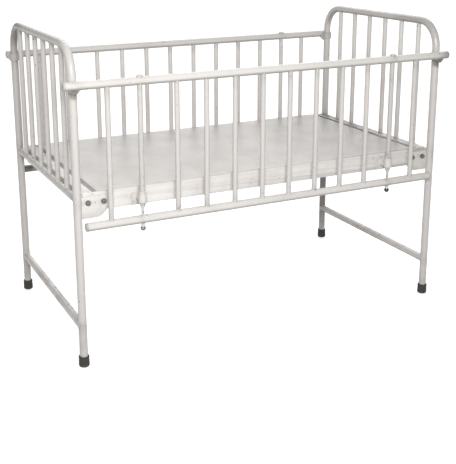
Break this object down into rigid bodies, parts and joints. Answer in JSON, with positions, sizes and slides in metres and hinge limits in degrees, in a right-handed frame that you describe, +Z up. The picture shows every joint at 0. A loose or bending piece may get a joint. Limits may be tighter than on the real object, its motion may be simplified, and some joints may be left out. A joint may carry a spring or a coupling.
{
  "type": "pediatric hospital cot",
  "caption": "High-legged cot of enamelled steel tube with barred ends, a sheet platform at waist height and barred sides that slide down on the posts.",
  "frame": {"origin": "on the floor under the middle of the cot", "axes": "+X along the cot to its right end, +Y across the cot to its far side, +Z up"},
  "size_m": [1.368, 0.76, 1.004],
  "materials": {
    "enamel": "semi-gloss white enamel, brushed on, slightly uneven",
    "sheet_enamel": "satin white enamel, worn",
    "ferrule_rubber": "matt moulded rubber",
    "dark_steel": "dull darkened steel",
    "spring_steel": "bright ground steel",
    "knob_black": "black moulded plastic"
  },
  "bodies": {
    "frame": {"left_end_hoop": "enamel", "right_end_hoop": "enamel", "left_cross_tube": "enamel", "right_cross_tube": "enamel", "left_end_bars": "enamel", "right_end_bars": "enamel", "left_stretcher": "enamel", "right_stretcher": "enamel", "foot_near_left": "ferrule_rubber", "foot_near_right": "ferrule_rubber", "foot_far_left": "ferrule_rubber", "foot_far_right": "ferrule_rubber", "corner_plate_near_left": "enamel", "corner_plate_near_right": "enamel", "corner_plate_far_left": "enamel", "corner_plate_far_right": "enamel", "near_frame_angle": "enamel", "far_frame_angle": "enamel", "left_frame_angle": "enamel", "right_frame_angle": "enamel", "frame_braces": "enamel", "platform_sheet": "sheet_enamel", "frame_bolts": "dark_steel", "frame_washers": "dark_steel", "frame_nuts": "dark_steel", "guide_bracket_near_left": "enamel", "guide_bracket_near_right": "enamel", "guide_bracket_far_left": "enamel", "guide_bracket_far_right": "enamel", "guide_tube_near_left": "enamel", "guide_tube_near_right": "enamel", "guide_tube_far_left": "enamel", "guide_tube_far_right": "enamel", "guide_cap_near_left": "enamel", "guide_cap_near_right": "enamel", "guide_cap_far_left": "enamel", "guide_cap_far_right": "enamel", "catch_balls": "spring_steel", "catch_springs": "spring_steel", "catch_screws": "dark_steel"},
    "near_side": {"near_top_rail": "enamel", "near_bottom_rail": "enamel", "near_side_bars": "enamel", "near_collar_left": "enamel", "near_collar_right": "enamel", "near_stay_rods": "enamel", "near_rod_nuts": "enamel", "near_rod_knobs": "knob_black", "near_rail_ends": "enamel"},
    "far_side": {"far_top_rail": "enamel", "far_bottom_rail": "enamel", "far_side_bars": "enamel", "far_collar_left": "enamel", "far_collar_right": "enamel", "far_stay_rods": "enamel", "far_rod_nuts": "enamel", "far_rod_knobs": "knob_black", "far_rail_ends": "enamel"}
  },
  "joints": [
    {"name": "near_side_slide", "type": "slide", "parent": "frame", "child": "near_side", "axis": [0, 0, -1], "range_m": [0, 0.3]},
    {"name": "far_side_slide", "type": "slide", "parent": "frame", "child": "far_side", "axis": [0, 0, -1], "range_m": [0, 0.3]}
  ]
}
